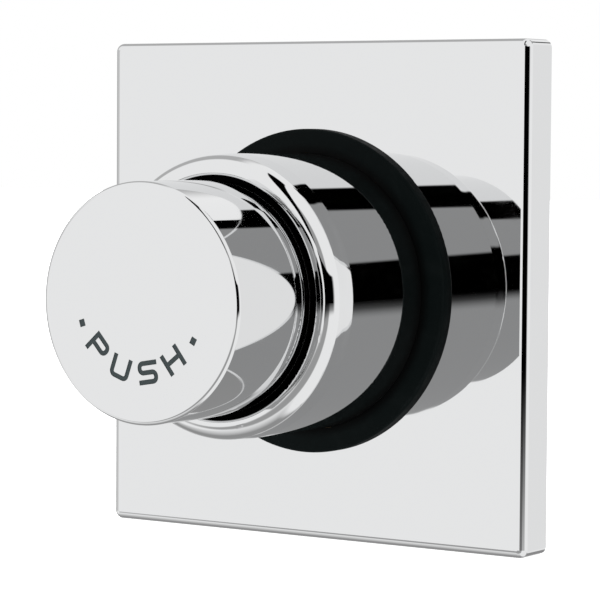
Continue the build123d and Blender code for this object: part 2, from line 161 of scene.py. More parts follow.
# %% [markdown]
# ## Masks
#
# A mask is a number that is 1 where something happens and 0 where it doesn't, with a soft slope
# between, because nothing in a studio or on a worn surface ends in a hard step. A Map Range node
# draws the slope. Masks then combine like words: multiplied together they mean "and", and the
# largest of them means "or".

# %% Draw masks and combine them
def ramp(tree, value, low, high, at_low=0.0, at_high=1.0, kind="SMOOTHSTEP"):
    """Go from at_low to at_high in a smooth step, while value goes from low to high."""
    node = add_node(tree, "ShaderNodeMapRange", interpolation_type=kind)
    for socket, number in zip(node.inputs, (value, low, high, at_low, at_high)):
        feed(tree, socket, number)
    return node.outputs[0]


def fall(tree, value, low, high):
    """1 below low, 0 above high."""
    return ramp(tree, value, low, high, 1.0, 0.0)


def all_of(tree, first, *others):
    """1 only where every mask is."""
    for other in others:
        first = calculate(tree, "MULTIPLY", first, other)
    return first


def any_of(tree, first, *others):
    """1 where at least one mask is."""
    for other in others:
        first = calculate(tree, "MAXIMUM", first, other)
    return first


def band(tree, value, low, high, soft):
    """1 between low and high, fading to 0 over a soft edge at each."""
    past_low = ramp(tree, value, low - soft, low + soft)
    before_high = fall(tree, value, high - soft, high + soft)
    return all_of(tree, past_low, before_high)


print("helpers that draw masks: ramp, fall, all_of, any_of, band")

# %% [markdown]
# ## The light tent
#
# Chrome has no colour of its own: a photograph of it is a photograph of the studio. This one was a
# light tent that glows white nearly all round, so the few places where it doesn't are what draws
# the metal. The tent could be modelled as cards with lamps, but only directions matter to an
# object this small. So it is painted on the world, as masks over the direction that a reflected
# ray leaves in. The three parts of that direction run from -1 to 1: x to the right, y into the
# wall, z up. Each edge of a patch is named below as the two places where its slope starts and ends.

# %% Start the tent
world = bpy.data.worlds.new("light_tent")
world.use_nodes = True
scene.world = world
tent = world.node_tree
tent.nodes.clear()
along_x, true_y, along_z = axes_of(tent, add_node(tent, "ShaderNodeTexCoord").outputs["Generated"])
print("the tent is painted over", along_x.name, true_y.name, along_z.name)

# %% [markdown]
# ## Cards behind the valve
#
# The flat plate is a mirror, so whatever stands off it sees the front of the tent twice, directly
# and in the plate. In the picture that second view goes on beyond the plate's outline. Two cards
# behind the valve, one low and one high, stand for what does that: where they are, the sign of y
# is turned round, which repeats the front there, a little greyer. Between them a white gap stays
# open, and the button catches it as a bright triangle.

# %% Hang the cards
card_grey = 0.78
low_card_top = (-0.45, -0.41)
low_card_left = (-0.45, -0.38)
high_card_bottom = (0.42, 0.46)
high_card_left = (0.03, 0.08)
cards_back = (0.60, 0.64)

low_card = all_of(tent, fall(tent, along_z, *low_card_top), ramp(tent, along_x, *low_card_left))
high_card = all_of(tent, ramp(tent, along_z, *high_card_bottom), ramp(tent, along_x, *high_card_left))
cards = all_of(tent, any_of(tent, low_card, high_card), ramp(tent, true_y, *cards_back))
turn_round = ramp(tent, cards, 0, 1, 1.0, -1.0, "LINEAR")
along_y = calculate(tent, "MULTIPLY", true_y, turn_round)
print("cards repeat the front at", card_grey, "of its glow")

# %% [markdown]
# ## Shade, strip and slit
#
# The broad bands on the sleeve and the button come from three things. The tent's front right side
# and its table are in grey shade. A black strip hangs in front of the valve near the top. At eye
# level a long dark slit is left open on the right for the camera.

# %% Shade the front and cut the dark openings
shade_grey = 0.385
shade_left = (0.10, 0.15)
shade_back = (-0.77, -0.66)
table_top = (-0.28, -0.16)
front_edge = (-0.05, 0.05)
strip_sides = (-0.075, 0.160)
strip_soft = 0.012
strip_bottom = (0.26, 0.30)
slit_left = (0.08, 0.12)
slit_bottom = (-0.20, -0.08)
slit_top = (0.225, 0.25)
slit_back = (-0.30, 0.05)

in_front = fall(tent, along_y, *front_edge)
near_axis = fall(tent, along_y, *shade_back)
shaded_sides = any_of(tent, ramp(tent, along_x, *shade_left), fall(tent, along_z, *table_top))
shade = all_of(tent, shaded_sides, near_axis)

strip_width = band(tent, along_x, *strip_sides, strip_soft)
strip = all_of(tent, strip_width, ramp(tent, along_z, *strip_bottom), in_front)
slit_height = all_of(tent, ramp(tent, along_z, *slit_bottom), fall(tent, along_z, *slit_top))
slit_reach = fall(tent, along_y, *slit_back)
slit = all_of(tent, ramp(tent, along_x, *slit_left), slit_height, slit_reach)
dark = any_of(tent, strip, slit)
print("shade glows at", shade_grey, "and the strip and the slit are black")

# %% [markdown]
# ## The dimmer stretches
#
# A tent is never evenly white. Its left seam and its back left are dimmer, which draws the thin
# grey lines along the plate's edges. The stretch below the valve, dimmer towards the wall, shades
# the lower half of the front ring. The far right takes a little off the plate's right edge.

# %% Dim the seam, the back, the underside and the far right
seam_grey = 0.66
behind_grey = 0.50
underside_grey = 0.33
far_grey = 0.91
seam_height = (-0.22, 0.22)
seam_soft = 0.05
seam_right = (-0.80, -0.68)
behind_front = (-0.15, 0.05)
behind_right = (-0.45, -0.25)
under_top = (-0.62, -0.45)
under_right = (0.0, 0.2)
under_depth = (-0.79, 0.0)
far_front = (0.70, 0.80)
far_left = (0.30, 0.45)

seam_band = band(tent, along_z, *seam_height, seam_soft)
seam = all_of(tent, seam_band, fall(tent, along_x, *seam_right), in_front)
behind = all_of(tent, ramp(tent, along_y, *behind_front), fall(tent, along_x, *behind_right))
behind_level = ramp(tent, along_z, *under_top, 1.0, behind_grey)
under = all_of(tent, fall(tent, along_z, *under_top), fall(tent, along_x, *under_right))
under_level = ramp(tent, along_y, *under_depth, 1.0, underside_grey, "LINEAR")
far_right = all_of(tent, ramp(tent, along_y, *far_front), ramp(tent, along_x, *far_left))
print("dimmest stretch glows at", min(seam_grey, behind_grey, underside_grey, far_grey))

# %% [markdown]
# ## Light the tent
#
# The tent starts white, and each mask brings it down to that mask's own level. The camera itself
# sees plain white behind the valve, whichever way it looks, as in the picture.

# %% Light the tent
levels = (
    (shade, shade_grey),
    (cards, card_grey),
    (seam, seam_grey),
    (behind, behind_level),
    (under, under_level),
    (far_right, far_grey),
)
glow = 1.0
for mask, level in levels:
    glow = calculate(tent, "MULTIPLY", glow, ramp(tent, mask, 0, 1, 1.0, level, "LINEAR"))
glow = calculate(tent, "MULTIPLY", glow, calculate(tent, "SUBTRACT", 1.0, dark))
glow = any_of(tent, glow, add_node(tent, "ShaderNodeLightPath").outputs["Is Camera Ray"])
background = add_node(tent, "ShaderNodeBackground")
feed(tent, background.inputs["Color"], (1.0, 1.0, 1.0, 1.0))
feed(tent, background.inputs["Strength"], glow)
output = add_node(tent, "ShaderNodeOutputWorld")
feed(tent, output.inputs["Surface"], background.outputs[0])
print("nodes in the tent:", len(tent.nodes))

# %% [markdown]
# ## Floor and fill light
#
# The valve stands on a plain white floor at the height of its lowest edge. A product photographer
# lights the sweep from below until it clips to white, so that nothing marks where the floor is.
# A little emission in the floor's paint does the same, and one broad overhead lamp gives the black
# rubber its soft light. The lamp and the floor are hidden from mirror reflections, because the tent
# already says what the chrome reflects.

# %% Lay the floor and hang the lamp
floor_reach = 3.0
floor_paint_look = {
    "Base Color": (0.9, 0.9, 0.9, 1),
    "Roughness": 0.9,
    "Specular IOR Level": 0.0,
    "Emission Color": (1, 1, 1, 1),
    "Emission Strength": 0.8,
}
lamp_strength = 2.6
lamp_spread = math.radians(70)
lamp_tilt = (math.radians(-20), math.radians(-12), 0)

corner_signs = ((-1, -1), (1, -1), (1, 1), (-1, 1))
floor_mesh = bpy.data.meshes.new("floor")
floor_corners = [(x * floor_reach, y * floor_reach, cad_low.z) for x, y in corner_signs]
floor_mesh.from_pydata(floor_corners, [], [(0, 1, 2, 3)])
floor = bpy.data.objects.new("floor", floor_mesh)
scene.collection.objects.link(floor)
floor.visible_glossy = False
floor_paint = bpy.data.materials.new("floor_paint")
floor_paint.use_nodes = True
for name, value in floor_paint_look.items():
    floor_paint.node_tree.nodes["Principled BSDF"].inputs[name].default_value = value
floor_mesh.materials.append(floor_paint)

lamp = bpy.data.objects.new("overhead", bpy.data.lights.new("overhead", "SUN"))
lamp.data.energy = lamp_strength
lamp.data.angle = lamp_spread
lamp.rotation_euler = lamp_tilt
lamp.visible_glossy = False
scene.collection.objects.link(lamp)
scene.view_settings.view_transform = "Standard"
print("floor at z =", round(1000 * cad_low.z, 1), "mm")

# %% [markdown]
# ## What every finish starts from
#
# The CAD pieces carry no UV map, and they don't need one. Their objects all sit at the origin, so
# the object coordinate of a point is its real place in metres, and a texture of 0.2 mm grain is the
# same grain on every piece. The first of four ideas behind every finish here is patchy noise at a
# real size. Such noise seldom leaves the stretch from 0.3 to 0.7, so a ramp that should use all of
# it starts and ends there.

# %% Start a finish, and noise of a real size
noise_middle = (0.3, 0.7)


def new_finish(name, **numbers):
    """A material with a Principled shader; keyword names use _ for the sockets' spaces."""
    material = bpy.data.materials.new(name)
    material.use_nodes = True
    tree = material.node_tree
    shader = tree.nodes["Principled BSDF"]
    for key, value in numbers.items():
        shader.inputs[key.replace("_", " ")].default_value = value
    where = add_node(tree, "ShaderNodeTexCoord").outputs["Object"]
    return material, tree, shader, where


def noise(tree, where, size, detail=2.0, rough=0.5, twist=0.0):
    """Noise from 0 to 1 whose blobs are about size metres across."""
    node = add_node(tree, "ShaderNodeTexNoise")
    feed(tree, node.inputs["Vector"], where)
    node.inputs["Scale"].default_value = 1 / size
    node.inputs["Detail"].default_value = detail
    node.inputs["Roughness"].default_value = rough
    node.inputs["Distortion"].default_value = twist
    return node.outputs[0]


print("helpers for places: new_finish, noise")

# %% [markdown]
# ## The marks of a lathe
#
# The second idea is the rings that a lathe leaves. Most of this valve was turned, and a cutting
# tool leaves the same mark all the way round. So the noise is given only two numbers, how far the
# point is from the lathe's axis and how far along it, and can't change round the axis.

# %% Lathe rings
def distance(tree, first, second):
    """How far a point is from an axis, from its two offsets."""
    squares = [calculate(tree, "POWER", offset, 2.0) for offset in (first, second)]
    return calculate(tree, "SQRT", calculate(tree, "ADD", *squares))


def round_axis(tree, where, axis_z=0.0):
    """Distance from an axis that runs along Y at height axis_z, and the place along it."""
    x, y, z = axes_of(tree, where)
    return distance(tree, x, calculate(tree, "SUBTRACT", z, axis_z)), y


def ring_marks(tree, radius, along, size):
    """Noise from a distance to an axis and a place along it."""
    flat = add_node(tree, "ShaderNodeCombineXYZ")
    feed(tree, flat.inputs[0], radius)
    feed(tree, flat.inputs[1], along)
    return noise(tree, flat.outputs[0], size, detail=3.0, rough=0.7)


def lathe_rings(tree, where, size, axis_z=0.0):
    """Ring marks round an axis that runs along Y."""
    radius, y = round_axis(tree, where, axis_z)
    return ring_marks(tree, radius, y, size)


print("helpers for turned pieces: distance, round_axis, ring_marks, lathe_rings")

# %% [markdown]
# ## Worn edges and small heights
#
# The third idea finds worn edges: a Bevel node bends the normal near a sharp edge, and where it
# no longer matches the true normal there is an edge. The Pointiness output finds edges too, but
# only as finely as the mesh has points, and a CAD piece has hardly any on its flat faces. The
# fourth turns a pattern into bump, with its real depth in metres, so that a 0.2 mm pit is shaded
# as one.

# %% Worn edges, mixed colours and bump
flat_to_edge = (0.995, 0.90)


def worn_edge(tree, width):
    """1 on edges sharper than width metres, 0 on flat stretches."""
    softened = add_node(tree, "ShaderNodeBevel", samples=4)
    softened.inputs["Radius"].default_value = width
    surface = add_node(tree, "ShaderNodeNewGeometry").outputs["Normal"]
    match = add_node(tree, "ShaderNodeVectorMath", operation="DOT_PRODUCT")
    feed(tree, match.inputs[0], softened.outputs[0])
    feed(tree, match.inputs[1], surface)
    return ramp(tree, match.outputs["Value"], *flat_to_edge)


def blend(tree, mask, first, second, most=None):
    """A colour that goes from first to second as a mask goes to 1, or only by most of the way."""
    node = add_node(tree, "ShaderNodeMix", data_type="RGBA")
    feed(tree, node.inputs[0], mask if most is None else calculate(tree, "MULTIPLY", mask, most))
    feed(tree, node.inputs[6], first)
    feed(tree, node.inputs[7], second)
    return node.outputs[2]


def finish_surface(tree, shader, colour, roughness, *layers):
    """Feed the shader; each layer of bump is a 0 to 1 height and its real depth in metres."""
    feed(tree, shader.inputs["Base Color"], colour)
    feed(tree, shader.inputs["Roughness"], roughness)
    normal = None
    for height, depth in layers:
        node = add_node(tree, "ShaderNodeBump")
        node.inputs["Strength"].default_value = 1.0
        node.inputs["Distance"].default_value = depth
        feed(tree, node.inputs["Height"], height)
        if normal is not None:
            feed(tree, node.inputs["Normal"], normal)
        normal = node.outputs[0]
    feed(tree, shader.inputs["Normal"], normal)


print("helpers for surfaces: worn_edge, blend, finish_surface")

# %% [markdown]
# ## Unpolished backs, and painted shade in the gap
#
# Chrome plate is a skin a few thousandths of a millimetre thick, so it copies whatever polishing was
# done to the brass below, and in one place there was none. Whatever faces the wall, such as the
# plate's hollow back, is chrome on raw metal, which is satin: the surface's normal finds it. The
# walls of the narrow gap round the button are painted nearly black instead, as painted shade: little
# light gets into the gap. The surface's place finds them, by its depth behind the ring's mouth and
# its distance from the axis.

# %% Satin backs and painted shade in the gap
chrome_satin = (0.52, 0.52, 0.515, 1)
satin_roughness = (0.30, 0.46)
facing_the_wall = (0.3, 0.6)
# Painted shade: the nearly black colour painted on the walls of the gap round the button.
gap_shade_black = (0.004, 0.004, 0.004, 1)
gap_shade_roughness = 0.6
gap_soft = 0.0004
reach_soft = 0.0002


def satin_back(tree, where, colour, roughness):
    """Leave whatever faces the wall unpolished."""
    _, towards_wall, _ = axes_of(tree, add_node(tree, "ShaderNodeNewGeometry").outputs["Normal"])
    back_face = ramp(tree, towards_wall, *facing_the_wall)
    press_marks = noise(tree, where, size=0.004, detail=4.0, rough=0.7)
    satin = ramp(tree, press_marks, *noise_middle, *satin_roughness)
    colour = blend(tree, back_face, colour, chrome_satin)
    return colour, ramp(tree, back_face, 0.0, 1.0, roughness, satin)


def paint_gap_shade(tree, where, colour, roughness, dark_from, dark_reach):
    """Paint shade on what lies behind y = dark_from and nearer the axis than dark_reach."""
    radius, y = round_axis(tree, where)
    # Painted shade: deep in the gap and near the axis the chrome is painted nearly black.
    deep = ramp(tree, y, dark_from - gap_soft, dark_from + gap_soft)
    inside = fall(tree, radius, dark_reach - reach_soft, dark_reach + reach_soft)
    hidden = all_of(tree, deep, inside)
    colour = blend(tree, hidden, colour, gap_shade_black)
    return colour, ramp(tree, hidden, 0.0, 1.0, roughness, gap_shade_roughness)


# The second colour printed is the painted shade of the gap.
print("unpolished colours:", chrome_satin[:3], gap_shade_black[:3])

# %% [markdown]
# ## Bright chrome
#
# A perfect mirror would look like computer graphics. Three faint things make it metal: cloudy patches
# a little less clear than the rest, rings left by the polishing wheel on everything that was turned,
# and edges where the wheel pressed harder. The pressed plate has no rings. It has the slow swell of
# thin sheet metal instead, which bends the reflections slightly.

# %% The chrome finish
chrome_white = (0.775, 0.78, 0.785, 1)
chrome_worn = (0.66, 0.655, 0.64, 1)
cloud_range = (0.45, 0.75)
clear_to_hazy = (0.018, 0.045)
edge_roughness = 0.10


def chrome_finish(name, swell_size, swell_depth, ring_depth, dark_from=None, dark_reach=None):
    """Chrome, with painted shade in the gap where dark_from and dark_reach are given."""
    material, tree, shader, where = new_finish(name, Metallic=1.0)
    clouds = noise(tree, where, size=0.012, detail=3.0, rough=0.6)
    haze = ramp(tree, clouds, *cloud_range, *clear_to_hazy)
    scuffs = noise(tree, where, size=0.003, detail=3.0, rough=0.7)
    edges = all_of(tree, worn_edge(tree, width=0.0005), scuffs)
    colour = blend(tree, edges, chrome_white, chrome_worn, most=0.35)
    roughness = calculate(tree, "ADD", haze, calculate(tree, "MULTIPLY", edges, edge_roughness))
    colour, roughness = satin_back(tree, where, colour, roughness)
    # Painted shade in the gap round the button, where one is given.
    if dark_from is not None:
        colour, roughness = paint_gap_shade(tree, where, colour, roughness, dark_from, dark_reach)
    swell = noise(tree, where, swell_size, detail=1.0, rough=0.4)
    rings = lathe_rings(tree, where, size=0.00035)
    finish_surface(tree, shader, colour, roughness, (swell, swell_depth), (rings, ring_depth))
    return material


print("polished colours:", chrome_white[:3], chrome_worn[:3])

# %% [markdown]
# ## Five chromed pieces
#
# Each chromed piece was polished in its own way, and the numbers say how: how broad and how deep
# its swell is, and how deep its rings are, in metres. The front ring was finished by hand and is the
# least even. The painted shade of the gap starts at the ring's mouth, whose place comes from the
# frame. On the ring itself it starts a millimetre deeper, so the first millimetre of its bore stays
# bright.

# %% Make the five chromes
ring_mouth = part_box("front_ring")[0].y
# How far behind the ring's mouth the painted shade on the ring starts.
ring_shade_inset = 0.001
ring_gap_radius = 0.0294
skirt_gap_radius = 0.0300

plate_chrome = chrome_finish("pressed_chrome", swell_size=0.035, swell_depth=0.000012, ring_depth=0.0)
sleeve_chrome = chrome_finish(
    "sleeve_chrome", swell_size=0.030, swell_depth=0.000006, ring_depth=0.00000012
)
cap_chrome = chrome_finish("cap_chrome", swell_size=0.030, swell_depth=0.000004, ring_depth=0.00000010)
ring_chrome = chrome_finish(
    "ring_chrome", swell_size=0.006, swell_depth=0.000022, ring_depth=0.00000025,
    dark_from=ring_mouth + ring_shade_inset, dark_reach=ring_gap_radius,
)
skirt_chrome = chrome_finish(
    "skirt_chrome", swell_size=0.020, swell_depth=0.000005, ring_depth=0.00000015,
    dark_from=ring_mouth, dark_reach=skirt_gap_radius,
)
print("the gap is dark from y =", round(1000 * ring_mouth, 2), "mm")

# %% [markdown]
# ## Black rubber
#
# The ring on the plate and the seals are moulded rubber. Rubber is nearly the darkest thing in a
# studio, so its look is all in the weak shine: a fine grain from the mould, a flat sheen where hands
# or grease polished it, and a greyish bloom where wax has come to the surface. The seals inside are
# wet and slick with grease, so they are smoother than the ring outside. Where the ring meets the
# sleeve it is painted blackest, as painted shade from the sleeve. One even roughness would look like
# painted plastic, so the same slow patches move the roughness and the bloom.

# %% Rubber finishes
rubber_black = (0.0016, 0.0034, 0.0034, 1)
rubber_bloom = (0.030, 0.036, 0.036, 1)
rubber_edge = (0.03, 0.034, 0.034, 1)
# Painted shade: the blackest rubber, next to the sleeve where the sleeve shades the ring.
rubber_sleeve_shade = (0.0001, 0.0003, 0.0003, 1)
lip_radius = 0.0333
sleeve_shade_width = 0.0026
bloom_range = (0.48, 0.72)
mould_depth = 0.000004
grain_depth = 0.000012


def rubber_finish(name, dull, sheen, shine, bloom_share, sleeve_shade_radius=None):
    """Black rubber; dull and sheen bound its roughness; inside the given radius it gets painted shade.
    """
    material, tree, shader, where = new_finish(name, Specular_IOR_Level=shine)
    patches = noise(tree, where, size=0.007, detail=4.0, rough=0.6, twist=0.5)
    grain = noise(tree, where, size=0.00025, detail=2.0, rough=0.6)
    mould = lathe_rings(tree, where, size=0.0006)
    bloom = ramp(tree, patches, *bloom_range)
    colour = blend(tree, bloom, rubber_black, rubber_bloom, most=bloom_share)
    colour = blend(tree, worn_edge(tree, width=0.0004), colour, rubber_edge, most=0.10)
    # Painted shade: darkest inside the given radius, where the ring meets the sleeve.
    if sleeve_shade_radius is not None:
        radius, _ = round_axis(tree, where)
        colour = blend(tree, fall(tree, radius, sleeve_shade_radius, sleeve_shade_radius + sleeve_shade_width), colour, rubber_sleeve_shade)
    roughness = ramp(tree, patches, *noise_middle, sheen, dull)
    finish_surface(tree, shader, colour, roughness, (mould, mould_depth), (grain, grain_depth))
    return material


ring_rubber = rubber_finish(
    "ring_rubber", dull=0.62, sheen=0.42, shine=0.05, bloom_share=0.05, sleeve_shade_radius=lip_radius
)
seal_rubber = rubber_finish("seal_rubber", dull=0.50, sheen=0.30, shine=0.30, bloom_share=0.06)
print("rubbers:", ring_rubber.name, seal_rubber.name)

# %% [markdown]
# ## Brass and steel
#
# The small turned parts are bright brass or stainless steel, with rings round their own axis. Brass
# tarnishes to brown in patches and rubs paler on its edges. Stainless steel is grey, keeps finer
# rings, and has only a few dull stains. Both need the same ingredients in different amounts.

# %% Two recipes
brass_bright = (0.62, 0.44, 0.20, 1)
brass_pale = (0.80, 0.64, 0.36, 1)
brass_recipe = {
    "clean": brass_bright,
    "stained": (0.36, 0.22, 0.085, 1),
    "rubbed": brass_pale,
    "ring_size": 0.0003,
    "ring_depth": 0.000003,
    "ring_roughness": (0.16, 0.30),
    "stain_size": 0.006,
    "stain_range": (0.42, 0.72),
    "stain_share": 0.55,
    "stain_roughness": 0.15,
    "edge_width": 0.0004,
    "edge_share": 0.6,
}
steel_recipe = {
    "clean": (0.56, 0.555, 0.54, 1),
    "stained": (0.38, 0.36, 0.33, 1),
    "rubbed": (0.75, 0.745, 0.73, 1),
    "ring_size": 0.00022,
    "ring_depth": 0.0000025,
    "ring_roughness": (0.15, 0.32),
    "stain_size": 0.005,
    "stain_range": (0.5, 0.75),
    "stain_share": 0.4,
    "stain_roughness": 0.12,
    "edge_width": 0.0003,
    "edge_share": 0.5,
}
print("amounts in each recipe:", len(brass_recipe), len(steel_recipe))

# %% [markdown]
# ## Turn the metals
#
# One function follows either recipe. The stop valve's parts get their own copies of the two finishes,
# because their lathe axis lies higher than the button's.

# %% Turn the metals
stop_axis_z = 0.0335


def turned_metal(name, recipe, axis_z=0.0):
    """Metal turned on a lathe whose axis runs along Y at height axis_z."""
    material, tree, shader, where = new_finish(name, Metallic=1.0)
    rings = lathe_rings(tree, where, recipe["ring_size"], axis_z)
    patches = noise(tree, where, recipe["stain_size"], detail=4.0, rough=0.6)
    stains = ramp(tree, patches, *recipe["stain_range"])
    edges = worn_edge(tree, recipe["edge_width"])
    colour = blend(tree, stains, recipe["clean"], recipe["stained"], recipe["stain_share"])
    colour = blend(tree, edges, colour, recipe["rubbed"], recipe["edge_share"])
    ring_roughness = ramp(tree, rings, *noise_middle, *recipe["ring_roughness"])
    stain_roughness = calculate(tree, "MULTIPLY", stains, recipe["stain_roughness"])
    roughness = calculate(tree, "ADD", ring_roughness, stain_roughness)
    finish_surface(tree, shader, colour, roughness, (rings, recipe["ring_depth"]))
    return material


bright_brass = turned_metal("turned_brass", brass_recipe)
stop_brass = turned_metal("stop_brass", brass_recipe, stop_axis_z)
bright_steel = turned_metal("turned_steel", steel_recipe)
stop_steel = turned_metal("stop_steel", steel_recipe, stop_axis_z)
print("turned metals:", [metal.name for metal in (bright_brass, stop_brass, bright_steel, stop_steel)])

# %% [markdown]
# ## Cast brass
#
# The body is cast in sand and then machined only where something seals on it: the mouths of the two
# ports, and the front collar. So it gets two finishes in one material. The cast skin is dull, mottled
# and pitted by the sand. The machined stretches are brighter, with the rings of the tool that went
# round the ports' axis, and masks made from real places say where they are. Two materials on
# separate faces would do it too, but their border would have to follow the CAD mesh's faces.

# %% The body's two skins
skin_light = (0.44, 0.31, 0.15, 1)
skin_dark = (0.36, 0.245, 0.115, 1)
skin_pit = (0.20, 0.125, 0.055, 1)
port_axis_y = 0.030
port_mouth_z = 0.0435
port_bore_reach = 0.0213
port_face_z = 0.0583
collar_face_y = -0.0138
bore_soft = 0.0003
face_soft = 0.0002
collar_soft = 0.0001
mottle_range = (0.35, 0.70)
pit_range = (0.50, 0.68)
cast_roughness = (0.46, 0.60)
cut_roughness = 0.2
sand_depth = 0.00022
cut_depth = 0.000004


def cast_brass_finish():
    """Sand-cast skin with machined port mouths and front collar."""
    material, tree, shader, where = new_finish("cast_brass", Metallic=1.0)
    x, y, z = axes_of(tree, where)
    height = calculate(tree, "ABSOLUTE", z)
    from_port_axis = distance(tree, x, calculate(tree, "SUBTRACT", y, port_axis_y))
    past_mouth = ramp(tree, height, port_mouth_z - bore_soft, port_mouth_z + bore_soft)
    in_reach = fall(tree, from_port_axis, port_bore_reach, port_bore_reach + bore_soft)
    on_face = ramp(tree, height, port_face_z, port_face_z + face_soft)
    on_collar = fall(tree, y, collar_face_y - collar_soft, collar_face_y + collar_soft)
    machined = any_of(tree, all_of(tree, past_mouth, in_reach), on_face, on_collar)

    sand = noise(tree, where, size=0.0009, detail=3.0, rough=0.6)
    mottle = noise(tree, where, size=0.014, detail=3.0, rough=0.5)
    skin = blend(tree, ramp(tree, mottle, *mottle_range), skin_light, skin_dark)
    skin = blend(tree, ramp(tree, sand, *pit_range), skin, skin_pit, most=0.45)
    skin = blend(tree, worn_edge(tree, width=0.0006), skin, brass_pale, most=0.45)
    colour = blend(tree, machined, skin, brass_bright)
    skin_roughness = ramp(tree, mottle, *noise_middle, *cast_roughness)
    roughness = ramp(tree, machined, 0.0, 1.0, skin_roughness, cut_roughness)
    grain = all_of(tree, sand, fall(tree, machined, 0.0, 1.0))
    cut = all_of(tree, ring_marks(tree, from_port_axis, height, size=0.0004), machined)
    finish_surface(tree, shader, colour, roughness, (grain, sand_depth), (cut, cut_depth))
    return material


cast_brass = cast_brass_finish()
print("cast brass is machined beyond z =", 1000 * port_mouth_z, "mm in the ports")

# %% [markdown]
# ## The fibre washer
#
# The flat washer under the bonnet is vulcanised fibre, pressed layers of red-brown paper whose
# short fibres lie flat, so its noise is squeezed along the axis and stretched one way across it.

# %% Fibre
fibre_dark = (0.10, 0.020, 0.010, 1)
fibre_light = (0.24, 0.062, 0.030, 1)
fibre_damp = (0.05, 0.014, 0.009, 1)
fibre_stretch = (1.0, 8.0, 0.25)
damp_range = (0.5, 0.8)
damp_most = 0.5
fibre_roughness = (0.50, 0.75)
fibre_depth = 0.00002


def stretched(tree, where, scale):
    """The same places, scaled along each axis, so that noise made from them has streaks."""
    node = add_node(tree, "ShaderNodeMapping")
    feed(tree, node.inputs["Vector"], where)
    node.inputs["Scale"].default_value = scale
    return node.outputs[0]


def fibre_finish():
    """Vulcanised fibre: short fibres lying flat in red-brown paper."""
    material, tree, shader, where = new_finish("fibre", Specular_IOR_Level=0.35)
    layers = stretched(tree, where, fibre_stretch)
    fibres = noise(tree, layers, size=0.0004, detail=4.0, rough=0.7)
    spots = noise(tree, where, size=0.004, detail=3.0, rough=0.6)
    damp = ramp(tree, spots, *damp_range, at_high=damp_most)
    colour = blend(tree, fibres, fibre_dark, fibre_light)
    colour = blend(tree, damp, colour, fibre_damp)
    roughness = ramp(tree, fibres, *noise_middle, *fibre_roughness)
    finish_surface(tree, shader, colour, roughness, (fibres, fibre_depth))
    return material


fibre = fibre_finish()
print("pressed:", fibre.name)

# %% [markdown]
# ## The moulded cage
#
# The cage and the damping piston are moulded acetal, a waxy white plastic that lets a little light
# in, with the slow streaks that the melt leaves as it flows along the mould. So its noise is
# stretched along the axis, and a little subsurface scattering gives the waxy depth that a plain
# surface colour lacks.

# %% Acetal
acetal_cream = (0.62, 0.60, 0.54, 1)
acetal_white = (0.76, 0.75, 0.71, 1)
acetal_edge = (0.86, 0.86, 0.84, 1)
flow_stretch = (1.0, 0.2, 1.0)
acetal_roughness = (0.30, 0.46)
acetal_grain_depth = 0.000006


def acetal_finish():
    """White acetal, slightly waxy, with flow streaks along the axis."""
    waxy = {"Specular_IOR_Level": 0.45, "Subsurface_Weight": 0.15, "Subsurface_Scale": 0.002}
    material, tree, shader, where = new_finish("acetal", **waxy)
    flow = stretched(tree, where, flow_stretch)
    streaks = noise(tree, flow, size=0.002, detail=3.0, rough=0.6, twist=0.6)
    grain = noise(tree, where, size=0.0003, detail=2.0, rough=0.5)
    colour = blend(tree, streaks, acetal_cream, acetal_white)
    colour = blend(tree, worn_edge(tree, width=0.0003), colour, acetal_edge, most=0.5)
    roughness = ramp(tree, streaks, *noise_middle, *acetal_roughness)
    finish_surface(tree, shader, colour, roughness, (grain, acetal_grain_depth))
    return material


acetal = acetal_finish()
print("moulded:", acetal.name)

# %% [markdown]
# ## Outlines that turn into pieces
#
# The next pieces are new meshes. The cap of the button is turned on a lathe, so its mesh is an outline
# spun round the axis. A real outline has no knife edges, and on polished metal each small round draws
# the bright line that shows where one face ends. A Bevel modifier could round them afterwards, but
# it gives every edge one width unless each is weighted by hand. So the outline is given as corners
# with a radius, and a helper replaces each corner with an arc. Sizes are in millimetres from here
# on, as on a drawing, and the outer ones are read from the CAD piece that the new mesh stands in for.

# %% Round the corners of an outline
def rounded(corners, steps):
    """Replace each corner of an open outline that has a third number by an arc of that radius."""
    line = []
    for index, corner in enumerate(corners):
        point = Vector(corner[:2])
        if len(corner) == 2:
            line.append(point)
            continue
        before = (Vector(corners[index - 1][:2]) - point).normalized()
        after = (Vector(corners[index + 1][:2]) - point).normalized()
        half = before.angle(after) / 2
        middle = point + (before + after).normalized() * (corner[2] / math.sin(half))
        start = point + before * (corner[2] / math.tan(half)) - middle
        turn = start.angle_signed(point + after * (corner[2] / math.tan(half)) - middle)
        for step in range(steps + 1):
            share = -turn * step / steps
            line.append(middle + Matrix.Rotation(share, 2) @ start)
    return line


def box_in_mm(node):
    """A CAD piece's lowest and highest corner at rest, in millimetres to a hundredth."""
    return [[round(1000 * value, 2) for value in corner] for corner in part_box(node)]


print("CAD button in mm:", box_in_mm("push_button"))

# %% [markdown]
# ## The word on the button
#
# A valve like this has to say how it works, so the word PUSH is engraved on its button between two
# small squares, and the engraving is filled with dark enamel. The letters are drawn with strokes of one
# width, like those of an engraving machine. A text object would give a printed typeface instead, so each
# letter is a few centre lines with rounded corners, widened by half a stroke on each side.

# %% Centre lines of the letters
stroke_width = 1.1
letter_wide = 4.3
letter_high = 4.2
letter_corner = 0.95
bowl_drop = -0.1

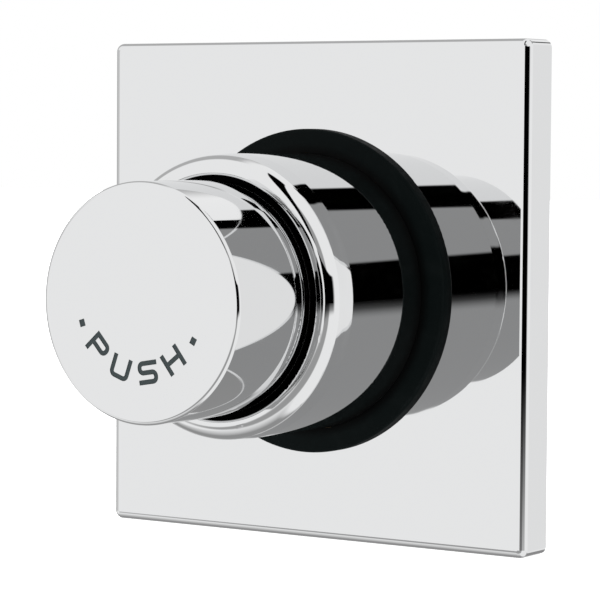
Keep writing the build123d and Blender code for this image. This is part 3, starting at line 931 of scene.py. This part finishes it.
w, h = letter_wide / 2, letter_high / 2
r = letter_corner
letter_lines = {
    "P": [[(-w, -h), (-w, h)], [(-w, h), (w, h, r), (w, bowl_drop, r), (-w, bowl_drop)]],
    "U": [[(-w, h), (-w, -h, r), (w, -h, r), (w, h)]],
    "S": [[(w, h), (-w, h, r), (-w, 0, r), (w, 0, r), (w, -h, r), (-w, -h)]],
    "H": [[(-w, -h), (-w, h)], [(w, -h), (w, h)], [(-w, 0), (w, 0)]],
}
print("centre lines:", {letter: len(lines) for letter, lines in letter_lines.items()})

# %% [markdown]
# ## From lines to strokes
#
# The strokes end square, so each centre line is made half a stroke longer at both ends and is then
# offset to both sides. At a bend, the offset goes half way between the two directions.

# %% Widen a line into a stroke
corner_steps = 6
same_place = 1e-6


def widen(line, width):
    """The closed outline of a stroke along a line, with square ends past its end points."""
    line = [p for i, p in enumerate(line) if i == 0 or (p - line[i - 1]).length > same_place]
    ways = [(b - a).normalized() for a, b in zip(line, line[1:])]
    line[0] = line[0] - ways[0] * (width / 2)
    line[-1] = line[-1] + ways[-1] * (width / 2)
    one_side, other_side = [], []
    for index, point in enumerate(line):
        way = (ways[max(index - 1, 0)] + ways[min(index, len(ways) - 1)]).normalized()
        across = Vector((-way.y, way.x)) * (width / 2)
        one_side.append(point + across)
        other_side.append(point - across)
    return other_side + one_side[::-1]


bent_line = rounded(letter_lines["U"][0], corner_steps)
print("points round the letter U:", len(widen(bent_line, stroke_width)))

# %% [markdown]
# ## Stand the letters on the button
#
# The letters stand on a circle round the button's centre, with their feet towards its edge. Each
# small square is a stroke so short that hardly more than its two ends is left.

# %% Stand the letters on the button
word = "PUSH"
letter_radius = 15.4
letter_step = 28.8
word_turn = -5.0
dot_turn = 67.8
dot_radius = 16.8
dot_size = 1.5
dot_line = 0.1 * dot_size


def place_on_face(outline, turn, radius):
    """Stand a letter at an angle from straight down, its top towards the middle of the button."""
    angle = math.radians(turn)
    outwards = Vector((math.sin(angle), -math.cos(angle)))
    along = Vector((math.cos(angle), math.sin(angle)))
    return [outwards * radius + along * p.x - outwards * p.y for p in outline]


strokes = []
for index, letter in enumerate(word):
    turn = word_turn + (index - (len(word) - 1) / 2) * letter_step
    for corners in letter_lines[letter]:
        stroke = widen(rounded(corners, corner_steps), stroke_width)
        strokes.append(place_on_face(stroke, turn, letter_radius))
for turn in (word_turn - dot_turn, word_turn + dot_turn):
    dot = widen([Vector((-dot_line / 2, 0)), Vector((dot_line / 2, 0))], dot_size)
    strokes.append(place_on_face(dot, turn, dot_radius))
print("strokes on the button:", len(strokes))

# %% [markdown]
# ## The size of the cap
#
# The cap fills the box of the plain CAD button that it stands in for, so its radius and the places
# of its front and of its boss are read from there. Its flat face ends a hair before the rounded
# edge starts, and everything round has the same number of points, so that the face, the edge and
# the wall meet point to point.

# %% Size the cap
around = 240
cap_low, cap_high = box_in_mm("push_button")
cap_front = cap_low[1]
cap_radius = cap_high[0]
boss_end = cap_high[1]
cap_edge = 0.9
face_margin = 0.01
face_radius = cap_radius - cap_edge - face_margin


def ring_points(radius):
    """Points round the axis at one radius, as (x, z)."""
    turns = [2 * math.pi * i / around for i in range(around)]
    return [Vector((radius * math.cos(t), radius * math.sin(t))) for t in turns]


print("the cap's face is", round(2 * face_radius, 2), "mm across, with", len(ring_points(1)), "points")

# %% [markdown]
# ## The engraved face
#
# Cutting letters into a mesh with a Boolean modifier works, but it leaves ragged triangles on a face
# where chrome would show every one. Here the flat face is drawn in two dimensions first: a constrained
# triangulation takes the round outline and the strokes together and says which triangle lies in a
# stroke. Those triangles go 0.12 mm deeper and get the enamel, and a wall joins the two levels.

# %% Sink the strokes into the face
engraving_depth = 0.12
inside_outlines = 1
merge_distance = 1e-5


def engraved_face(mesh, outlines):
    """Add the flat face to a bmesh, with the outlines sunk into it, and count its triangles."""
    points, faces = [], []
    for outline in [ring_points(face_radius)] + outlines:
        faces.append(list(range(len(points), len(points) + len(outline))))
        points.extend(outline)
    drawn = delaunay_2d_cdt(points, [], faces, inside_outlines, merge_distance)
    flat, _, triangles, _, _, owners = drawn
    levels = [{}, {}]

    def corner(index, level):
        if index not in levels[level]:
            p = flat[index]
            levels[level][index] = mesh.verts.new((p.x, cap_front + level * engraving_depth, p.y))
        return levels[level][index]

    border = {}
    for triangle, owner in zip(triangles, owners):
        level = int(any(o > 0 for o in owner))
        face = mesh.faces.new([corner(i, level) for i in triangle])
        face.material_index = level
        for a, b in zip(triangle, triangle[1:] + triangle[:1]):
            border.setdefault(frozenset((a, b)), []).append((level, a, b))
    for sides in border.values():
        if len(sides) == 2 and sides[0][0] != sides[1][0]:
            _, a, b = sides[0] if sides[0][0] == 1 else sides[1]
            wall = mesh.faces.new([corner(a, 1), corner(b, 1), corner(b, 0), corner(a, 0)][::-1])
            wall.material_index = 1
    return len(triangles)


cap_mesh = bmesh.new()
print("triangles on the face:", engraved_face(cap_mesh, strokes))

# %% [markdown]
# ## The rest of the cap
#
# Behind its face the cap is hollow, with a boss in the middle that takes the stem. All of that is
# one outline, from the rim of the face round the side wall, up the inside, down the boss and into
# the stem's hole, spun round the axis. A Screw modifier would spin it as well, but these rings have
# to meet the points of the face's rim, so they are laid in code. A flat floor closes the last one.

# %% Spin the cap's wall and boss
skirt_show = 5.6
cap_back = box_in_mm("front_ring")[0][1] - skirt_show
cap_bore = 25.6
cap_inside = -75.6
boss_radius = 8.0
stem_hole = 4.05
stem_hole_end = -71.9
cap_back_round = 0.5
cap_inner_round = 1.5
cap_steps = 12
cap_outline = [
    (face_radius, cap_front),
    (cap_radius, cap_front, cap_edge),
    (cap_radius, cap_back, cap_back_round),
    (cap_bore, cap_back),
    (cap_bore, cap_inside, cap_inner_round),
    (boss_radius, cap_inside, cap_inner_round),
    (boss_radius, boss_end),
    (stem_hole, boss_end),
    (stem_hole, stem_hole_end),
]


def spin_outline(mesh, line):
    """Add the surface of an open outline of (radius, y) spun round the axis."""
    rows = [[mesh.verts.new((p.x, y, p.y)) for p in ring_points(radius)] for radius, y in line]
    for first, second in zip(rows, rows[1:]):
        for i in range(around):
            j = (i + 1) % around
            mesh.faces.new((first[i], first[j], second[j], second[i]))
    return rows


cap_rows = spin_outline(cap_mesh, rounded(cap_outline, cap_steps))
cap_mesh.faces.new(cap_rows[-1])
print("rings in the cap's wall:", len(cap_rows))

# %% [markdown]
# ## From a mesh to a piece
#
# Every new mesh is finished in the same way: points in the same place are welded, its faces are
# turned outwards, and edges sharper than 35 degrees stay crisp. An edge that doesn't join exactly two
# faces would be a hole, so those are counted. The mesh then shrinks from millimetres to the frame's
# metres.

# %% Finish a mesh and make it a piece
weld_distance = 1e-4


def finish_mesh(name, mesh, sharp_angle=35):
    """Weld, turn the faces outwards, and keep edges sharper than an angle crisp."""
    bmesh.ops.remove_doubles(mesh, verts=mesh.verts, dist=weld_distance)
    bmesh.ops.recalc_face_normals(mesh, faces=mesh.faces)
    data = bpy.data.meshes.new(name)
    mesh.to_mesh(data)
    open_edges = sum(len(edge.link_faces) != 2 for edge in mesh.edges)
    mesh.free()
    data.shade_smooth()
    data.set_sharp_from_angle(angle=math.radians(sharp_angle))
    print(name, "faces", len(data.polygons), "open edges", open_edges)
    return data


def new_piece(name, mesh, *finishes):
    """An object for a mesh in millimetres, scaled to metres."""
    mesh.transform(Matrix.Scale(0.001, 4))
    for finish in finishes:
        mesh.materials.append(finish)
    piece = bpy.data.objects.new(name, mesh)
    scene.collection.objects.link(piece)
    return piece


print("points closer than", weld_distance, "mm are welded")

# %% [markdown]
# ## Dark enamel, and the cap as a piece
#
# The enamel is rubbed into the letters and baked: nearly black with a touch of blue-green, and
# slightly speckled. Normals weighted by face area keep the cap's large flat face truly flat, which a
# mirror finish needs. The cap is then attached to the button's body, and the plain CAD button that it
# stands in for is hidden.

# %% Enamel the letters and finish the cap
enamel_dark = (0.016, 0.026, 0.028, 1)
enamel_light = (0.030, 0.044, 0.047, 1)
enamel_roughness = (0.35, 0.55)
speckle_depth = 0.00001


def enamel_finish():
    """Baked enamel, dark with a faint speckle."""
    material, tree, shader, where = new_finish("dark_enamel", Specular_IOR_Level=0.4)
    speckle = noise(tree, where, size=0.0006, detail=3.0, rough=0.6)
    colour = blend(tree, speckle, enamel_dark, enamel_light)
    roughness = ramp(tree, speckle, *noise_middle, *enamel_roughness)
    finish_surface(tree, shader, colour, roughness, (speckle, speckle_depth))
    return material


cap = new_piece("engraved_cap", finish_mesh("engraved_cap", cap_mesh), cap_chrome, enamel_finish())
weighted = cap.modifiers.new("flat_faces_first", "WEIGHTED_NORMAL")
weighted.keep_sharp = True
weighted.weight = 100
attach(cap, "button_group")
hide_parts("push_button")

# %% [markdown]
# ## The spring's centre line
#
# A compression spring isn't a plain helix. Its last turn at each end is closed, lying against its
# neighbour, and the end is ground flat so that it stands square on its washer. So the pitch of the
# helix opens and closes again: a closed turn climbs by little more than the wire's thickness, and
# the open turns share what is left of the spring's height. A Screw modifier winds only one even
# pitch, so the centre line is worked out here, step by step.

# %% Wind the centre line
spring_low, spring_high = box_in_mm("return_spring")
spring_front = spring_low[1]
spring_back = spring_high[1]
wire_radius = 0.9
spring_radius = spring_high[2] - wire_radius
spring_turns = 7.0
closed_turns = 0.9
opening_turns = 0.5
turn_slack = 1.02
ground_share = 0.45
steps_per_turn = 80

closed_pitch = 2 * wire_radius * turn_slack
first_y = spring_front + ground_share * wire_radius
last_y = spring_back - ground_share * wire_radius
steps = int(spring_turns * steps_per_turn)


def smooth(share):
    """A smooth step from 0 to 1, flat outside that range."""
    share = min(1.0, max(0.0, share))
    return share * share * (3 - 2 * share)


def openness(turn):
    """0 in the closed end turns, 1 in the open turns between them."""
    from_end = min(turn, spring_turns - turn)
    return smooth((from_end - closed_turns) / opening_turns)


opening = [openness((i + 0.5) / steps_per_turn) for i in range(steps)]
extra = (last_y - first_y - closed_pitch * spring_turns) / (sum(opening) / steps_per_turn)
height = first_y
centre_line = []
for i in range(steps + 1):
    turn = 2 * math.pi * i / steps_per_turn
    centre_line.append(Vector((spring_radius * math.cos(turn), height, spring_radius * math.sin(turn))))
    if i < steps:
        height += (closed_pitch + extra * opening[i]) / steps_per_turn
print("pitch in mm:", round(closed_pitch, 2), "closed,", round(closed_pitch + extra, 2), "open")

# %% [markdown]
# ## The spring's wire
#
# The wire is a hoop of points swept along the centre line. A curve with a bevel depth sweeps a wire
# as well, but its ends can't be ground. Here every point is at hand, which makes the grinding the
# easiest part: whatever of the wire would stick out past an end plane is pressed back onto it.

# %% Sweep the wire and grind its ends
wire_sides = 20

spring_mesh = bmesh.new()
hoops = []
for i, centre in enumerate(centre_line):
    ahead = centre_line[min(i + 1, steps)] - centre_line[max(i - 1, 0)]
    outwards = Vector((centre.x, 0, centre.z)).normalized()
    sideways = ahead.cross(outwards).normalized()
    hoop = []
    for side in range(wire_sides):
        angle = 2 * math.pi * side / wire_sides
        point = centre + (outwards * math.cos(angle) + sideways * math.sin(angle)) * wire_radius
        point.y = min(max(point.y, spring_front), spring_back)
        hoop.append(spring_mesh.verts.new(point))
    hoops.append(hoop)
for first, second in zip(hoops, hoops[1:]):
    for side in range(wire_sides):
        other = (side + 1) % wire_sides
        spring_mesh.faces.new((first[side], first[other], second[other], second[side]))
spring_mesh.faces.new(hoops[0])
spring_mesh.faces.new(hoops[-1][::-1])
print("hoops along the wire:", len(hoops))

# %% [markdown]
# ## The spring as a piece
#
# Spring wire is drawn through dies, which leave fine marks, and it stains a little where water
# stands. The spring is attached to the fixed body of the valve.

# %% Finish the spring
wire_clean = (0.50, 0.495, 0.48, 1)
wire_stained = (0.34, 0.31, 0.26, 1)
wire_stain_range = (0.45, 0.75)
wire_roughness = (0.22, 0.42)
die_depth = 0.000003
stroke = 10.0


def wire_finish():
    """Drawn stainless wire, slightly stained."""
    material, tree, shader, where = new_finish("drawn_wire", Metallic=1.0)
    dies = lathe_rings(tree, where, size=0.00015)
    patches = noise(tree, where, size=0.004, detail=4.0, rough=0.6)
    stain = ramp(tree, patches, *wire_stain_range)
    colour = blend(tree, stain, wire_clean, wire_stained)
    roughness = ramp(tree, dies, *noise_middle, *wire_roughness)
    finish_surface(tree, shader, colour, roughness, (dies, die_depth))
    return material


spring = new_piece("wound_spring", finish_mesh("wound_spring", spring_mesh), wire_finish())
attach(spring, "fixed_valve")
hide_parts("return_spring")
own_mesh(spring)

# %% [markdown]
# ## The foam gasket's outline
#
# Behind the plate lies a square frame of closed-cell foam that seals it to uneven tiles. It is die
# cut from sheet, so its outline is crisp. The frame will be a skin swept round the square, between
# two square loops, its outer and its inner edge. Half a millimetre between points is fine enough to
# carry the foam's cells as real shape.

# %% Loops round the gasket
gasket_low, gasket_high = box_in_mm("plate_gasket")
foam_half = gasket_high[0]
foam_width = 6.0
foam_corner = 0.8
foam_step = 0.5
turn_steps = 6


def square_loop(half, corner, along_count):
    """Points round a square with rounded corners, and the outward direction at each."""
    points = []
    straight = half - corner
    for side in range(4):
        normal = Matrix.Rotation(math.radians(-90 * side), 2) @ Vector((1, 0))
        along = Vector((normal.y, -normal.x))
        for i in range(along_count):
            points.append((normal * half + along * straight * (2 * i / along_count - 1), normal))
        for i in range(turn_steps):
            turned = Matrix.Rotation(math.radians(-90 / turn_steps * i), 2) @ normal
            points.append((normal * straight + along * straight + turned * corner, turned))
    return points


along_count = int(2 * foam_half / foam_step)
outer_loop = square_loop(foam_half, foam_corner, along_count)
inner_loop = square_loop(foam_half - foam_width, foam_corner, along_count)
print("points round the gasket:", len(outer_loop))

# %% [markdown]
# ## The gasket's section
#
# What is swept round the loops is the strip's section: a rectangle with slightly rounded edges. It
# starts and ends in the middle of its back side, so that all four edges are corners with a radius,
# and it is cut into even steps, which gives every part of the skin the same share of points.

# %% Section of the strip
foam_depth = gasket_high[1] - gasket_low[1]
foam_edge = 0.35
foam_edge_steps = 2


def even_steps(line, step):
    """Points at even steps along a closed line, and the outward direction at each."""
    points = []
    for a, b in zip(line, line[1:] + line[:1]):
        way = b - a
        if way.length < same_place:
            continue
        count = max(1, round(way.length / step))
        outwards = Vector((way.y, -way.x)).normalized()
        points.extend((a + way * (i / count), outwards) for i in range(count))
    return points


section_corners = [
    (-foam_width / 2, 0.0), (0.0, 0.0, foam_edge), (0.0, -foam_depth, foam_edge),
    (-foam_width, -foam_depth, foam_edge), (-foam_width, 0.0, foam_edge), (-foam_width / 2, 0.0),
]
section = even_steps(rounded(section_corners, foam_edge_steps)[:-1], foam_step)
print("points round the section:", len(section))

# %% [markdown]
# ## Cells in the foam
#
# The foam's cut faces show its cells as shallow pits a millimetre or so wide, and it swells a little
# on the inside, where nothing holds it. Cell noise gives each point's distance to its two nearest
# cell centres. Where the two are equal there is a cell wall, so the more they differ, the deeper the
# point sinks. A Displace modifier could push the cells in too, but here the same loop that lays the
# skin also swells it. Finer pores are left to the material's bump.

# %% Sink the cells into the skin
cell_size = 1.3
cell_pit = 0.28
cell_wall = 0.45
swell_out = 0.25
half_depth = foam_depth / 2

foam_mesh = bmesh.new()
frame_rows = []
for (outer, normal), (inner, _) in zip(outer_loop, inner_loop):
    row = []
    for (across, y), facing in section:
        share = -across / foam_width
        middle = 1 - ((y + half_depth) / half_depth) ** 2
        flat = outer.lerp(inner, share) - normal * (swell_out * middle * share)
        near, far = voronoi(Vector((flat.x, y, flat.y)) / cell_size)[0][:2]
        sink = cell_pit * smooth((far - near) / cell_wall)
        x, z = flat - normal * facing.x * sink
        row.append(foam_mesh.verts.new((x, y - facing.y * sink, z)))
    frame_rows.append(row)
for first, second in zip(frame_rows, frame_rows[1:] + frame_rows[:1]):
    for i in range(len(section)):
        j = (i + 1) % len(section)
        foam_mesh.faces.new((first[i], first[j], second[j], second[i]))
print("points in the foam's skin:", len(foam_mesh.verts))

# %% [markdown]
# ## The gasket as a piece
#
# Closed-cell foam is black, dull and full of pores too fine to model, and dust greys it in patches.
# The bottoms of the pores are painted darker than their rims, as painted shade in the pits.

# %% Finish the gasket
foam_black = (0.018, 0.018, 0.019, 1)
foam_pore_rim = (0.040, 0.040, 0.042, 1)
foam_dust = (0.07, 0.07, 0.07, 1)
pore_size = 0.00035
pore_range = (0.1, 0.6)
pore_depth = 0.00006
dust_range = (0.5, 0.8)
dust_most = 0.4
foam_roughness = (0.75, 0.95)


def foam_finish():
    """Black foam with fine pores, painted shade in their pits, and a little dust."""
    material, tree, shader, where = new_finish("closed_cell_foam", Specular_IOR_Level=0.2)
    cells = add_node(tree, "ShaderNodeTexVoronoi")
    feed(tree, cells.inputs["Vector"], where)
    cells.inputs["Scale"].default_value = 1 / pore_size
    pores = cells.outputs["Distance"]
    patches = noise(tree, where, size=0.006, detail=3.0, rough=0.6)
    # Painted shade: each pore is painted darker towards its bottom than on its rim.
    colour = blend(tree, ramp(tree, pores, *pore_range), foam_black, foam_pore_rim)
    dust = ramp(tree, patches, *dust_range, at_high=dust_most)
    colour = blend(tree, dust, colour, foam_dust)
    roughness = ramp(tree, patches, *noise_middle, *foam_roughness)
    finish_surface(tree, shader, colour, roughness, (pores, pore_depth))
    return material


gasket = new_piece("foam_gasket", finish_mesh("foam_gasket", foam_mesh, sharp_angle=60), foam_finish())
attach(gasket, "fixed_valve")
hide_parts("plate_gasket")
print("the gasket fills the box from", gasket_low, "to", gasket_high, "in mm")

# %% [markdown]
# ## Dress the CAD pieces
#
# Every other piece keeps its CAD mesh, which is already exact, and gets its finish by the name of its
# material slot. A few need their own: the front ring and the skirt, which darken in the gap, and the
# stop valve's metal parts, whose lathe rings run round another axis. Pieces that a new mesh stands
# in for are hidden by now and are passed over.

# %% Give each CAD piece its finish
finish_of_slot = {
    "chrome_plate": plate_chrome,
    "chrome": sleeve_chrome,
    "black_rubber": ring_rubber,
    "cast_brass": cast_brass,
    "brass": bright_brass,
    "fibre": fibre,
    "seal_rubber": seal_rubber,
    "cage_plastic": acetal,
    "steel": bright_steel,
}
finish_of_piece = {
    "front_ring": ring_chrome,
    "button_skirt": skirt_chrome,
    "stop_cap": stop_brass,
    "stop_spindle": stop_brass,
    "stop_plug": stop_brass,
    "stop_screw": stop_steel,
}
for name, node in nodes.items():
    if node.hide_render:
        continue
    for slot in node.material_slots:
        slot.material = finish_of_piece.get(name, finish_of_slot.get(slot.material.name))
    print(name, "->", [slot.material.name for slot in node.material_slots])
